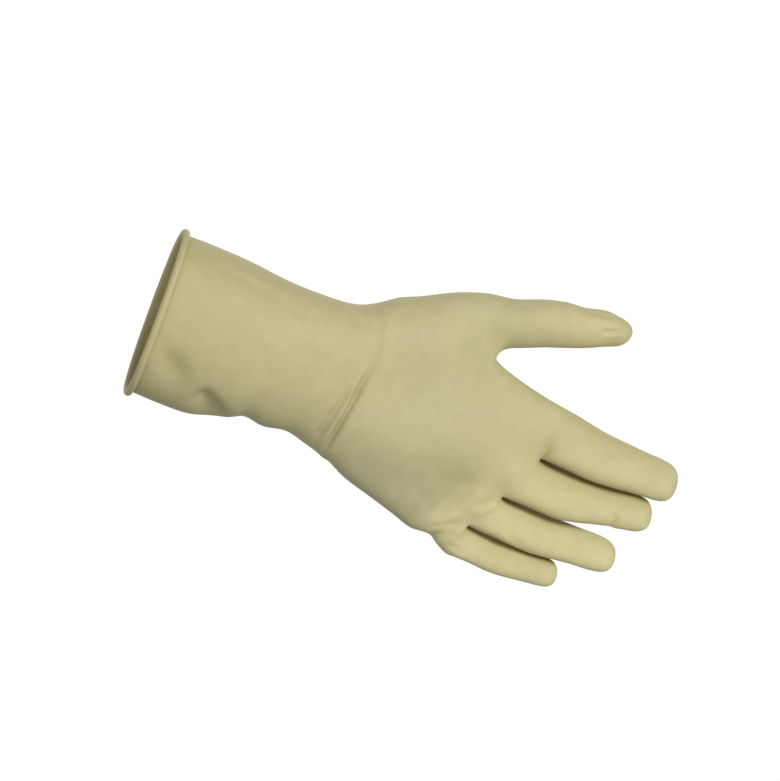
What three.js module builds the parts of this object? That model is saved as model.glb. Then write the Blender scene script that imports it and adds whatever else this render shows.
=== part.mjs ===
// Lead lined glove for the left hand, dipped in one piece: gauntlet, palm, four fingers and thumb,
// with the edge at the mouth rolled outwards into a bead.
//
// Millimetres. The origin is the centre of the mouth, +X runs along the glove to the fingertips,
// +Z is the thumb's side and -Y the palm's side.
// The outer surface is a smooth one drawn over a coarse cage of four-sided cells. The cage's points
// are set so that the surface goes through the sections in the tables. The sheet is as thick as
// WALL everywhere and lies inside that surface.

import * as THREE from 'three';

// Lengths along the glove
const GAUNTLET_LENGTH = 114; // mouth to the main wrist fold
const PALM_LENGTH = 95; // wrist fold to the web between first and middle finger
const INDEX_LENGTH = 71;
const MIDDLE_LENGTH = 73;
const RING_LENGTH = 74;
const LITTLE_LENGTH = 57;
const THUMB_LENGTH = 78;

// Widths, across the palm
const CUFF_WIDTH = 83;
const INDEX_WIDTH = 27.5;
const MIDDLE_WIDTH = 24.4;
const RING_WIDTH = 19.1;
const LITTLE_WIDTH = 15.7;
const THUMB_WIDTH = 25;
const FINGER_GAP = 1.2;

// Depths, from palm to back
const CUFF_DEPTH = 65;
const PALM_DEPTH = 32;
const WEB_SLOPE = 7; // how much further the webs reach on the palm's side

// The sheet and its rolled edge
const WALL = 1;
const BEAD_WIDTH = 3.8;
const BEAD_TURN = 280; // degrees

const FINGER_WIDTHS = [INDEX_WIDTH, MIDDLE_WIDTH, RING_WIDTH, LITTLE_WIDTH];
const PALM_WIDTH = FINGER_WIDTHS.reduce((sum, width) => sum + width + FINGER_GAP, 0);

// Sections of the gauntlet. at and lean are shares of GAUNTLET_LENGTH: the place on the little
// finger's side, and how much further on the section is at the thumb's side. thumb and little are
// the reach to each side in shares of CUFF_WIDTH, palm and back in shares of CUFF_DEPTH.
const GAUNTLET = [
  { at: 0.019, lean: 0, thumb: 0.5, little: 0.501, palm: 0.5, back: 0.5 },
  { at: 0.119, lean: 0, thumb: 0.499, little: 0.51, palm: 0.5, back: 0.5 },
  { at: 0.246, lean: 0, thumb: 0.491, little: 0.515, palm: 0.49, back: 0.495 },
  { at: 0.365, lean: 0, thumb: 0.478, little: 0.502, palm: 0.47, back: 0.485 },
  { at: 0.459, lean: 0, thumb: 0.461, little: 0.472, palm: 0.45, back: 0.47 },
  { at: 0.535, lean: 0.009, thumb: 0.45, little: 0.414, palm: 0.43, back: 0.455 },
  { at: 0.625, lean: 0.012, thumb: 0.446, little: 0.43, palm: 0.41, back: 0.435 },
  { at: 0.714, lean: 0.034, thumb: 0.447, little: 0.408, palm: 0.385, back: 0.41 },
  { at: 0.782, lean: 0.085, thumb: 0.472, little: 0.421, palm: 0.365, back: 0.39 },
  { at: 0.847, lean: 0.133, thumb: 0.563, little: 0.446, palm: 0.345, back: 0.37 },
  { at: 0.876, lean: 0.135, thumb: 0.589, little: 0.457, palm: 0.335, back: 0.36 },
  { at: 0.906, lean: 0.133, thumb: 0.605, little: 0.473, palm: 0.325, back: 0.35 },
  { at: 0.936, lean: 0.132, thumb: 0.621, little: 0.488, palm: 0.315, back: 0.34 },
  { at: 0.965, lean: 0.133, thumb: 0.637, little: 0.497, palm: 0.305, back: 0.33 },
];

// Sections of the hand. at and lean are shares of PALM_LENGTH from the wrist fold, thumb and little
// are shares of PALM_WIDTH, palm and back of PALM_DEPTH, slope of WEB_SLOPE. thin is the share of
// the depth that is lost towards the little finger, edge the share that is left at the thumb's side.
const HAND = [
  { at: 0.039, lean: 0.175, thumb: 0.63, little: 0.494, palm: 0.56, back: 0.62 },
  { at: 0.134, lean: 0.191, thumb: 0.682, little: 0.528, palm: 0.52, back: 0.56, thin: 0.04 },
  { at: 0.264, lean: 0.211, thumb: 0.609, little: 0.568,
    palm: 0.49, back: 0.52, thin: 0.08, edge: 0.88 },
  { at: 0.385, lean: 0.213, thumb: 0.409, little: 0.607,
    palm: 0.47, back: 0.5, thin: 0.14, edge: 0.58, slope: 0.1 },
  { at: 0.495, lean: 0.231, thumb: 0.349, little: 0.643,
    palm: 0.45, back: 0.48, thin: 0.2, edge: 0.78, slope: 0.35 },
  { at: 0.596, lean: 0.281, thumb: 0.306, little: 0.641,
    palm: 0.425, back: 0.44, thin: 0.28, edge: 0.95, slope: 0.7 },
  { at: 0.696, lean: 0.341, thumb: 0.276, little: 0.702, palm: 0.42, back: 0.41, thin: 0.36, slope: 1 },
];
const CUFF_FLAT = 0.35; // how much flatter than round the gauntlet is, 1 being the flat of the hand
const EDGE_REACH = 0.35; // how far across the hand edge reaches
// The hand sections that the thumb grows from, and how deep its root is at each, in shares of
// the depth of the thumb's first section.
const THUMB_ROOT = [
  { row: 1, deep: 0.82 },
  { row: 2, deep: 1.06 },
  { row: 3, deep: 0.68 },
];

// Fingers. splay is the angle towards the thumb at the root and turn the change at the middle
// joint. knuckle, middle and end are the bends towards the palm at the three joints, in degrees.
// web is how far the crotch beyond each finger lies past the last hand section, in shares of
// PALM_LENGTH. set is how far the finger lies towards the back, in shares of PALM_DEPTH, which it
// reaches within SET_REACH of its length. widths are shares of the finger's width at the six
// sections of SHAFT.
const FINGERS = [
  { name: 'index', length: INDEX_LENGTH, splay: -7.2, turn: 6.5, knuckle: 4, middle: 5, end: 6,
    set: -0.09, web: 0.072, widths: [0.99, 0.955, 0.925, 0.87, 0.78, 0.68] },
  { name: 'middle', length: MIDDLE_LENGTH, splay: -2, turn: 8.5, knuckle: 5, middle: 6, end: 6,
    set: -0.03, web: 0.046, widths: [1.02, 1.02, 1.03, 0.88, 0.78, 0.69] },
  { name: 'ring', length: RING_LENGTH, splay: -3, turn: 4.5, knuckle: 5, middle: 7, end: 7,
    set: 0.04, web: 0.01, widths: [1.055, 1.09, 1.13, 1.06, 0.97, 0.84] },
  { name: 'little', length: LITTLE_LENGTH, splay: -3.6, turn: 5.7, knuckle: 5, middle: 8, end: 7,
    set: 0.11, web: 0, widths: [1.095, 1.1, 1.13, 1.09, 1, 0.84] },
];
const SET_REACH = 0.15;
const FINGER_LIE = 0.42; // how far a finger's thumb side leans to the back, as a share of its width
// Sections of a finger: at is a share of its length, depth of its own width there, full how
// much squarer than round it is, and hold the share of the root's slant that is left.
const SHAFT = [
  { at: 0.1, depth: 0.82, full: 1.08, hold: 0.75 },
  { at: 0.26, depth: 0.82, full: 1.05, hold: 0.45 },
  { at: 0.42, depth: 0.82, full: 1.02, hold: 0.2 },
  { at: 0.58, depth: 0.82, full: 1.01, hold: 0 },
  { at: 0.75, depth: 0.8, full: 1.01, hold: 0 },
  { at: 0.935, depth: 0.78, full: 1, hold: 0 },
];

// Sections of the thumb. at and off are shares of THUMB_LENGTH along and across its axis, width
// and depth of THUMB_WIDTH, and tilt turns the section back towards the mouth, in degrees.
const THUMB_RISE = 17; // degrees from +X
const THUMB_BEND = 9; // degrees towards the palm
const THUMB = [
  { at: 0.119, off: 0.026, width: 1.18, depth: 0.86, tilt: 19 },
  { at: 0.242, off: 0.021, width: 1, depth: 0.86, tilt: 8 },
  { at: 0.4, off: 0.03, width: 0.98, depth: 0.84, tilt: 4 },
  { at: 0.553, off: 0.028, width: 0.93, depth: 0.8, tilt: -3 },
  { at: 0.698, off: 0.018, width: 0.82, depth: 0.72, tilt: -2 },
  { at: 0.835, off: 0.022, width: 0.74, depth: 0.64, tilt: -2 },
  { at: 0.94, off: 0.003, width: 0.53, depth: 0.48, tilt: -8 },
];

// Folds run from one place to another on one face. at is a share of GAUNTLET_LENGTH, side of
// CUFF_WIDTH; depth and width are shares of WALL, and lip is the share of the depth that the
// sheet stands up beside the fold.
const FOLDS = [
  { name: 'wrist fold', at: [0.907, 0.975], side: [-0.44, 0.22], depth: 1.5, width: 1.7, lip: 0.4 },
  { name: 'upper wrist fold', at: [0.842, 0.935], side: [-0.43, 0.06], depth: 0.9, width: 1.6, lip: 0.3 },
  { name: 'little finger crease', at: [1.5, 1.6], side: [-0.72, -0.57], depth: 1.3, width: 2, lip: 0.3 },
];

// Dents, and mounds where depth is negative. at, side, long and wide are shares of GAUNTLET_LENGTH
// and CUFF_WIDTH, depth of WALL, and turn is in degrees. face is -1 on the palm's side, 1 on the
// back, 0 on both.
const DENTS = [
  { name: 'palm', at: 1.34, side: -0.14, long: 0.22, wide: 0.2, turn: 10, depth: -1.4, face: -1 },
  { name: 'below the pads', at: 1.53, side: -0.41, long: 0.12, wide: 0.12, turn: -35, depth: 2.2, face: -1 },
  { name: 'hand edge', at: 1.38, side: -0.46, long: 0.26, wide: 0.15, turn: -20, depth: 2.2, face: -1 },
  { name: 'ball of the thumb', at: 1.2, side: 0.42, long: 0.2, wide: 0.2, turn: 20, depth: -4.5, face: -1 },
  { name: 'heel', at: 1.16, side: -0.3, long: 0.24, wide: 0.16, turn: -12, depth: -3, face: -1 },
  { name: 'index pad', at: 1.72, side: 0.12, long: 0.14, wide: 0.12, turn: 0, depth: -0.9, face: -1 },
  { name: 'middle pad', at: 1.68, side: -0.18, long: 0.14, wide: 0.12, turn: 0, depth: -0.9, face: -1 },
  { name: 'ring pad', at: 1.6, side: -0.42, long: 0.13, wide: 0.11, turn: 0, depth: -0.8, face: -1 },
  { name: 'little pad', at: 1.52, side: -0.62, long: 0.1, wide: 0.08, turn: 0, depth: -0.7, face: -1 },
  { name: 'by the mouth', at: 0.15, side: -0.28, long: 0.09, wide: 0.08, turn: -40, depth: 2.4, face: -1 },
  { name: 'at the notch', at: 0.4, side: -0.44, long: 0.14, wide: 0.07, turn: -40, depth: 3.4, face: -1 },
  { name: 'slack on top', at: 0.3, side: 0.38, long: 0.3, wide: 0.06, turn: -10, depth: 1, face: -1 },
  { name: 'knuckles', at: 1.5, side: -0.1, long: 0.2, wide: 0.4, turn: -15, depth: 1, face: 1 },
];

const RING_POINTS = 20;
const FINGER_POINTS = 8;
const FIT_PASSES = 3;
const BEAD_STEPS = 8;

const radians = (degrees) => (degrees * Math.PI) / 180;
const mix = (a, b, share) => a + (b - a) * share;
const add = (a, b, share = 1) => a.map((value, axis) => value + b[axis] * share);
const subtract = (a, b) => add(a, b, -1);
const scale = (a, share) => a.map((value) => value * share);
const unit = (a) => scale(a, 1 / (Math.hypot(...a) || 1));
const cross = (a, b) => [
  a[1] * b[2] - a[2] * b[1],
  a[2] * b[0] - a[0] * b[2],
  a[0] * b[1] - a[1] * b[0],
];
const total = (points) => points.reduce((sum, point) => add(sum, point), [0, 0, 0]);
const average = (points) => scale(total(points), 1 / points.length);

// Where the ring's columns lie across the hand, as shares from the thumb's side. Round sections
// space them by angle; flat ones give each finger its own width.
function columnShares(flat) {
  const starts = [0];
  FINGER_WIDTHS.forEach((width) => {
    starts.push(starts[starts.length - 1] + (width + FINGER_GAP) / PALM_WIDTH);
  });
  const corner = (1 - Math.cos(Math.PI / 4)) / 2;
  const shares = [0];
  for (let finger = 0; finger < 4; finger += 1) {
    shares.push(finger ? starts[finger] : mix(0, starts[1], corner));
    shares.push(mix(starts[finger], starts[finger + 1], 0.5));
  }
  shares.push(mix(1, starts[3], corner), 1);
  return shares.map((share, column) => mix((1 - Math.cos((Math.PI * column) / 10)) / 2, share, flat));
}

// A ring runs from the thumb's side over the palm to the little finger's side and back.
function bodyRing(row, start, length, width, depth, flat) {
  const shares = columnShares(flat);
  const power = 2 + flat * 0.9;
  return Array.from({ length: RING_POINTS }, (_, index) => {
    const column = index <= 10 ? index : RING_POINTS - index;
    const palmSide = index <= 10;
    const across = shares[column];
    const height = (1 - Math.abs(2 * across - 1) ** power) ** (1 / power);
    const held = mix(row.edge ?? 1, 1, Math.min(1, across / EDGE_REACH));
    const thinned = (1 - (row.thin ?? 0) * across) * held;
    const back = palmSide ? 0 : (row.slope ?? 0) * WEB_SLOPE * height;
    return [
      start + (row.at + row.lean * (1 - across)) * length - back,
      (palmSide ? -row.palm : row.back) * depth * height * thinned,
      mix(row.thumb, -row.little, across) * width,
    ];
  });
}

function bodyRings() {
  const rings = GAUNTLET.map((row, index) => {
    const flat = mix(CUFF_FLAT, 0.5, Math.max(0, (index - 5) / (GAUNTLET.length - 5)));
    return bodyRing(row, 0, GAUNTLET_LENGTH, CUFF_WIDTH, CUFF_DEPTH, flat);
  });
  HAND.forEach((row, index) => {
    const flat = 0.5 + (0.5 * (index + 1)) / HAND.length;
    rings.push(bodyRing(row, GAUNTLET_LENGTH, PALM_LENGTH, PALM_WIDTH, PALM_DEPTH, flat));
  });
  return rings;
}

// The points around a digit's section, from its thumb side over the palm's side.
function digitRing(centre, sideways, backwards, width, depth, shear, full) {
  return Array.from({ length: FINGER_POINTS }, (_, index) => {
    const angle = (2 * Math.PI * index) / FINGER_POINTS;
    const reach = index % 2 ? full / 2 : 1 / 2;
    const side = add(centre, sideways, Math.cos(angle) * width * reach);
    const point = add(side, backwards, -Math.sin(angle) * depth * reach);
    return add(point, shear, Math.cos(angle) * (width / 2));
  });
}

function fingerRings(finger, width, root, slant) {
  const rings = [];
  let centre = root;
  let last = 0;
  [...SHAFT, { at: 1 }].forEach((section, index) => {
    const bend = radians(finger.knuckle + (index > 2 ? finger.middle : 0) + (index > 4 ? finger.end : 0));
    const splay = radians(finger.splay + (index > 2 ? finger.turn : 0));
    const ahead = Math.cos(bend);
    const forward = unit([ahead * Math.cos(splay), -Math.sin(bend), ahead * Math.sin(splay)]);
    centre = add(centre, forward, (section.at - last) * finger.length);
    last = section.at;
    if (section.at === 1) {
      rings.push([[centre[0], centre[1] + finger.set * PALM_DEPTH, centre[2]]]);
      return;
    }
    const reached = easing(section.at / SET_REACH);
    const middle = [centre[0], centre[1] + finger.set * PALM_DEPTH * reached, centre[2]];
    const backwards = unit(cross([0, 0, 1], forward));
    const sideways = unit(cross(forward, backwards));
    const across = width * finger.widths[index];
    const depth = across * section.depth;
    const shear = [slant * section.hold, FINGER_LIE * reached, 0];
    rings.push(digitRing(middle, sideways, backwards, across, depth, shear, section.full));
  });
  return rings;
}

function thumbRings(root) {
  const rise = radians(THUMB_RISE);
  const bend = radians(THUMB_BEND);
  const axis = [Math.cos(rise) * Math.cos(bend), -Math.sin(bend), Math.sin(rise) * Math.cos(bend)];
  const across = [-Math.sin(rise), 0, Math.cos(rise)];
  const rings = THUMB.map((section) => {
    const along = add(root, axis, section.at * THUMB_LENGTH);
    const centre = add(along, across, section.off * THUMB_LENGTH);
    const tilt = rise + radians(section.tilt);
    const sideways = [-Math.sin(tilt), 0, Math.cos(tilt)];
    const ahead = Math.cos(bend);
    const forward = unit([Math.cos(tilt) * ahead, -Math.sin(bend), Math.sin(tilt) * ahead]);
    const backwards = unit(cross(sideways, forward));
    const width = section.width * THUMB_WIDTH;
    const depth = section.depth * THUMB_WIDTH;
    return digitRing(centre, sideways, backwards, width, depth, [0, 0, 0], 1);
  });
  rings.push([add(root, axis, THUMB_LENGTH)]);
  return rings;
}

// The cage: where the surface has to pass, and the cells between those points.
function buildCage() {
  const points = [];
  const cells = [];
  const place = (point) => points.push(point) - 1;

  const rings = bodyRings();
  const placed = rings.map((ring) => ring.map(place));
  const thumbFrom = GAUNTLET.length + THUMB_ROOT[0].row;
  const thumbTo = GAUNTLET.length + THUMB_ROOT[2].row;
  const atThumb = (column) => column === 0 || column === RING_POINTS - 1;
  const inThumb = (row, column) => row >= thumbFrom && row < thumbTo && atThumb(column);
  for (let row = 0; row + 1 < placed.length; row += 1) {
    for (let column = 0; column < RING_POINTS; column += 1) {
      const next = (column + 1) % RING_POINTS;
      if (!inThumb(row, column)) {
        const [near, far] = [placed[row], placed[row + 1]];
        cells.push([near[column], near[next], far[next], far[column]]);
      }
    }
  }

  const joinRings = (from, to) => from.forEach((corner, index) => {
    const next = (index + 1) % from.length;
    cells.push([corner, from[next], to[next], to[index]]);
  });
  const closeTip = (ring, tip) => {
    for (let index = 0; index < FINGER_POINTS; index += 2) {
      cells.push([ring[index], ring[index + 1], ring[(index + 2) % FINGER_POINTS], tip]);
    }
  };
  const growDigit = (loop, sections) => {
    let from = loop;
    sections.slice(0, -1).forEach((section) => {
      const to = section.map(place);
      joinRings(from, to);
      from = to;
    });
    const last = from;
    closeTip(last, place(sections[sections.length - 1][0]));
  };

  // Each crotch between two fingers has a point on the palm's side, one on the back and one between.
  const root = placed[placed.length - 1];
  const webs = [];
  FINGERS.slice(0, 3).forEach((finger, index) => {
    const palmPoint = root[3 + 2 * index];
    const backPoint = root[RING_POINTS - 3 - 2 * index];
    const beyond = finger.web * PALM_LENGTH;
    points[palmPoint] = add(points[palmPoint], [beyond, 0, 0]);
    points[backPoint] = add(points[backPoint], [beyond, 0, 0]);
    points[palmPoint][1] *= 0.72;
    points[backPoint][1] *= 0.72;
    const between = mix(points[palmPoint][0], points[backPoint][0], 0.35);
    webs.push(place([between, 0, points[palmPoint][2]]));
  });

  FINGERS.forEach((finger, index) => {
    const first = 2 * index + 1;
    const thumbSide = index ? webs[index - 1] : root[0];
    const littleSide = index < 3 ? webs[index] : root[10];
    const palmEdge = [root[first], root[first + 1], root[first + 2]];
    const backEdge = [2, 1, 0].map((step) => root[RING_POINTS - first - step]);
    const loop = [thumbSide, ...palmEdge, littleSide, ...backEdge];
    const ends = [points[thumbSide], points[littleSide]];
    const centre = [
      mix(ends[0][0], ends[1][0], 0.5),
      average(loop.map((at) => points[at]))[1],
      mix(ends[0][2], ends[1][2], 0.5),
    ];
    const slant = (ends[0][0] - ends[1][0]) / (ends[0][2] - ends[1][2]);
    growDigit(loop, fingerRings(finger, FINGER_WIDTHS[index], centre, slant));
  });

  const [back, middle, front] = THUMB_ROOT.map(({ row }) => placed[GAUNTLET.length + row]);
  const side = RING_POINTS - 1;
  THUMB_ROOT.forEach(({ row, deep }) => {
    const reach = (deep * THUMB[0].depth * THUMB_WIDTH) / 2;
    points[placed[GAUNTLET.length + row][1]][1] = -reach;
    points[placed[GAUNTLET.length + row][side]][1] = reach;
  });
  const palmSide = [back[0], back[1], middle[1], front[1]];
  const thumbLoop = [...palmSide, front[0], front[side], middle[side], back[side]];
  growDigit(thumbLoop, thumbRings(average([points[back[0]], points[front[0]]])));

  return compact(points, cells);
}

function compact(points, cells) {
  const used = new Map();
  cells.flat().forEach((index) => used.has(index) || used.set(index, used.size));
  const kept = [...used.keys()].map((index) => points[index]);
  return { points: kept, cells: cells.map((cell) => cell.map((index) => used.get(index))) };
}

// Neighbours of each point: along the edges, across the cells, and along an open edge.
function neighbours({ points, cells }) {
  const edges = new Map();
  const around = points.map(() => ({ beside: new Set(), across: [], open: [] }));
  cells.forEach((cell, face) => cell.forEach((corner, index) => {
    const next = cell[(index + 1) % 4];
    const key = corner < next ? `${corner} ${next}` : `${next} ${corner}`;
    if (!edges.has(key)) {
      edges.set(key, { ends: [corner, next], faces: [] });
    }
    edges.get(key).faces.push(face);
    around[corner].beside.add(next);
    around[next].beside.add(corner);
    around[corner].across.push(cell[(index + 2) % 4]);
  }));
  edges.forEach(({ ends, faces }) => {
    if (faces.length === 1) {
      around[ends[0]].open.push(ends[1]);
      around[ends[1]].open.push(ends[0]);
    }
  });
  return { edges: [...edges.values()], around };
}

// The place on the smooth surface that belongs to each cage point.
function onSurface(mesh, links) {
  return mesh.points.map((point, index) => {
    const { beside, across, open } = links.around[index];
    const sumOf = (list) => total([...list].map((at) => mesh.points[at]));
    if (open.length) {
      return scale(add(scale(point, 4), sumOf(open)), 1 / 6);
    }
    const count = beside.size;
    const sum = add(add(scale(point, count * count), sumOf(beside), 4), sumOf(across));
    return scale(sum, 1 / (count * (count + 5)));
  });
}

function fitCage(targets) {
  const links = neighbours(targets);
  let mesh = targets;
  for (let pass = 0; pass < FIT_PASSES; pass += 1) {
    const reached = onSurface(mesh, links);
    const missed = targets.points.map((target, index) => subtract(target, reached[index]));
    const moved = mesh.points.map((point, index) => add(point, missed[index]));
    mesh = { points: moved, cells: targets.cells };
  }
  return mesh;
}

// Splits every cell in four, as a smooth surface asks (Catmull and Clark's rule).
function refine(mesh) {
  const { points, cells } = mesh;
  const { edges, around } = neighbours(mesh);
  const facePoints = cells.map((cell) => average(cell.map((at) => points[at])));
  const facesAt = points.map(() => []);
  cells.forEach((cell, face) => cell.forEach((at) => facesAt[at].push(facePoints[face])));
  const corners = points.map((point, index) => {
    const { beside, open } = around[index];
    if (open.length) {
      return add(scale(point, 0.75), add(points[open[0]], points[open[1]]), 0.125);
    }
    const count = beside.size;
    const middles = average([...beside].map((at) => scale(add(point, points[at]), 0.5)));
    const sum = add(add(average(facesAt[index]), middles, 2), point, count - 3);
    return scale(sum, 1 / count);
  });
  const edgeAt = new Map();
  const edgePoints = edges.map(({ ends, faces }, index) => {
    edgeAt.set(`${Math.min(...ends)} ${Math.max(...ends)}`, points.length + index);
    const middle = average(ends.map((at) => points[at]));
    return faces.length === 1 ? middle : average([middle, average(faces.map((face) => facePoints[face]))]);
  });
  const finer = [];
  cells.forEach((cell, face) => {
    const centre = points.length + edges.length + face;
    const side = cell.map((at, index) => {
      const next = cell[(index + 1) % 4];
      return edgeAt.get(`${Math.min(at, next)} ${Math.max(at, next)}`);
    });
    cell.forEach((at, index) => finer.push([at, side[index], centre, side[(index + 3) % 4]]));
  });
  return { points: [...corners, ...edgePoints, ...facePoints], cells: finer };
}

function normalsOf({ points, cells }) {
  const sums = points.map(() => [0, 0, 0]);
  cells.forEach(([a, b, c, d]) => {
    const normal = cross(subtract(points[c], points[a]), subtract(points[d], points[b]));
    [a, b, c, d].forEach((at) => {
      sums[at] = add(sums[at], normal);
    });
  });
  return sums.map(unit);
}

const easing = (share) => {
  const held = Math.min(1, Math.max(0, share));
  return held * held * (3 - 2 * held);
};
const facing = (normal, face) => (face ? easing(0.5 + normal[1] * face * 1.4) : 1);

function foldHeight(fold, point, normal) {
  const from = [fold.at[0] * GAUNTLET_LENGTH, fold.side[0] * CUFF_WIDTH];
  const to = [fold.at[1] * GAUNTLET_LENGTH, fold.side[1] * CUFF_WIDTH];
  const length = Math.hypot(to[0] - from[0], to[1] - from[1]);
  const along = [(to[0] - from[0]) / length, (to[1] - from[1]) / length];
  const away = [point[0] - from[0], point[2] - from[1]];
  const share = (away[0] * along[0] + away[1] * along[1]) / length;
  const aside = (away[0] * along[1] - away[1] * along[0]) / (fold.width * WALL);
  const fade = easing(share / 0.15 + 0.5) * easing((1 - share) / 0.35 + 0.2) * facing(normal, -1);
  const groove = Math.exp(-aside * aside);
  const lips = Math.exp(-((Math.abs(aside) - 1.9) ** 2));
  return fade * fold.depth * WALL * (fold.lip * lips - groove);
}

function dentHeight(dent, point, normal) {
  const turn = radians(dent.turn);
  const x = point[0] - dent.at * GAUNTLET_LENGTH;
  const z = point[2] - dent.side * CUFF_WIDTH;
  const along = (x * Math.cos(turn) + z * Math.sin(turn)) / (dent.long * GAUNTLET_LENGTH);
  const across = (z * Math.cos(turn) - x * Math.sin(turn)) / (dent.wide * CUFF_WIDTH);
  return -dent.depth * WALL * Math.exp(-(along * along + across * across)) * facing(normal, dent.face);
}

function outerSurface() {
  const finer = refine(fitCage(buildCage()));
  const smooth = { points: onSurface(finer, neighbours(finer)), cells: finer.cells };
  const normals = normalsOf(smooth);
  const points = smooth.points.map((point, index) => {
    const normal = normals[index];
    const folds = FOLDS.reduce((sum, fold) => sum + foldHeight(fold, point, normal), 0);
    const dents = DENTS.reduce((sum, dent) => sum + dentHeight(dent, point, normal), 0);
    return add(point, normal, folds + dents);
  });
  return { points, cells: smooth.cells };
}

// The mouth's points in order, so that the rolled edge can follow them.
function mouthLoop(surface) {
  const { around } = neighbours(surface);
  const first = around.findIndex(({ open }) => open.length > 0);
  const loop = [first];
  let at = around[first].open[0];
  while (at !== first) {
    loop.push(at);
    at = around[at].open.find((next) => next !== loop[loop.length - 2]);
  }
  return loop;
}

// The sheet: the surface, its copy inside it, and both carried round the rolled edge to its end.
function gloveSheet() {
  const surface = outerSurface();
  const normals = normalsOf(surface);
  const count = surface.points.length;
  const inside = surface.points.map((point, index) => add(point, normals[index], -WALL));
  const points = [...surface.points, ...inside];
  const triangles = [];
  const addCell = (a, b, c, d) => triangles.push([a, b, c], [a, c, d]);
  surface.cells.forEach(([a, b, c, d]) => {
    addCell(a, b, c, d);
    addCell(count + d, count + c, count + b, count + a);
  });

  const loop = mouthLoop(surface);
  const radius = (BEAD_WIDTH - WALL) / 2;
  let outer = loop;
  let inner = loop.map((at) => count + at);
  const outwards = loop.map((at) => unit([0, normals[at][1], normals[at][2]]));
  const centres = loop.map((at, index) => add(surface.points[at], outwards[index], radius - WALL / 2));
  for (let step = 1; step <= BEAD_STEPS; step += 1) {
    const angle = radians((BEAD_TURN * step) / BEAD_STEPS);
    const ringAt = (distance) => loop.map((_, index) => {
      const turned = add([-Math.sin(angle), 0, 0], outwards[index], -Math.cos(angle));
      return points.push(add(centres[index], turned, distance)) - 1;
    });
    const nextOuter = ringAt(radius - WALL / 2);
    const nextInner = ringAt(radius + WALL / 2);
    loop.forEach((_, index) => {
      const next = (index + 1) % loop.length;
      addCell(outer[next], outer[index], nextOuter[index], nextOuter[next]);
      addCell(inner[index], inner[next], nextInner[next], nextInner[index]);
    });
    outer = nextOuter;
    inner = nextInner;
  }
  loop.forEach((_, index) => {
    const next = (index + 1) % loop.length;
    addCell(outer[next], outer[index], inner[index], inner[next]);
  });
  return { points, triangles };
}

function meshFrom(name, { points, triangles }, material) {
  const geometry = new THREE.BufferGeometry();
  geometry.setAttribute('position', new THREE.Float32BufferAttribute(points.flat(), 3));
  geometry.setIndex(triangles.flat());
  geometry.computeVertexNormals();
  const mesh = new THREE.Mesh(geometry, material);
  mesh.name = name;
  return mesh;
}

const latex = new THREE.MeshStandardMaterial({ color: 0xbdb58a, roughness: 0.7, metalness: 0 });
latex.name = 'latex';

const group = new THREE.Group();
group.name = 'lead_lined_glove';
group.add(meshFrom('dipped_glove', gloveSheet(), latex));

export default group;
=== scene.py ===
"""Looks of the lead lined glove: one dipped sheet of latex with a rolled bead at its mouth.

Sizes are in millimetres and become metres where a mesh is made. The origin is the centre of the
mouth, +X runs along the glove to the fingertips, +Z is the thumb's side and -Y the palm's side.
"""

import math

import bpy
import numpy as np
from mathutils import Matrix, Vector, noise


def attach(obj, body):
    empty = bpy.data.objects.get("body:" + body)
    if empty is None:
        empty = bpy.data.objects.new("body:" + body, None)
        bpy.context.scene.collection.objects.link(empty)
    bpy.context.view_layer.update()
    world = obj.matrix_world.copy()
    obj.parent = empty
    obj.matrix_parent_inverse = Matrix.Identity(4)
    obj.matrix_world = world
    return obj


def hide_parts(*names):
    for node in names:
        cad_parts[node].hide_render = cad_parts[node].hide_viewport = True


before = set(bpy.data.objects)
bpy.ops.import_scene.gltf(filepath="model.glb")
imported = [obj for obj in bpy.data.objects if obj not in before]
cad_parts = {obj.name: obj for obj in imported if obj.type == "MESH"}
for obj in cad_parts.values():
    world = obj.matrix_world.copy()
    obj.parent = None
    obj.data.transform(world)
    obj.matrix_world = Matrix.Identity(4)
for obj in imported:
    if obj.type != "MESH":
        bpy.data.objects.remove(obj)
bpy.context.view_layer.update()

# Lengths along the glove
GAUNTLET_LENGTH = 114  # mouth to the main wrist fold
PALM_LENGTH = 95  # wrist fold to the web between first and middle finger
INDEX_LENGTH = 71
MIDDLE_LENGTH = 73
RING_LENGTH = 74
LITTLE_LENGTH = 57
THUMB_LENGTH = 78

# Widths, across the palm
CUFF_WIDTH = 83
INDEX_WIDTH = 27.5
MIDDLE_WIDTH = 24.4
RING_WIDTH = 19.1
LITTLE_WIDTH = 15.7
THUMB_WIDTH = 25
FINGER_GAP = 1.2

# Depths, from palm to back
CUFF_DEPTH = 65
PALM_DEPTH = 32
WEB_SLOPE = 7  # how much further the webs reach on the palm's side

# The sheet and its rolled edge
WALL = 1
BEAD_WIDTH = 3.8
BEAD_TURN = 280  # degrees

FINGER_WIDTHS = [INDEX_WIDTH, MIDDLE_WIDTH, RING_WIDTH, LITTLE_WIDTH]
PALM_WIDTH = sum(FINGER_WIDTHS) + len(FINGER_WIDTHS) * FINGER_GAP

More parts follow.
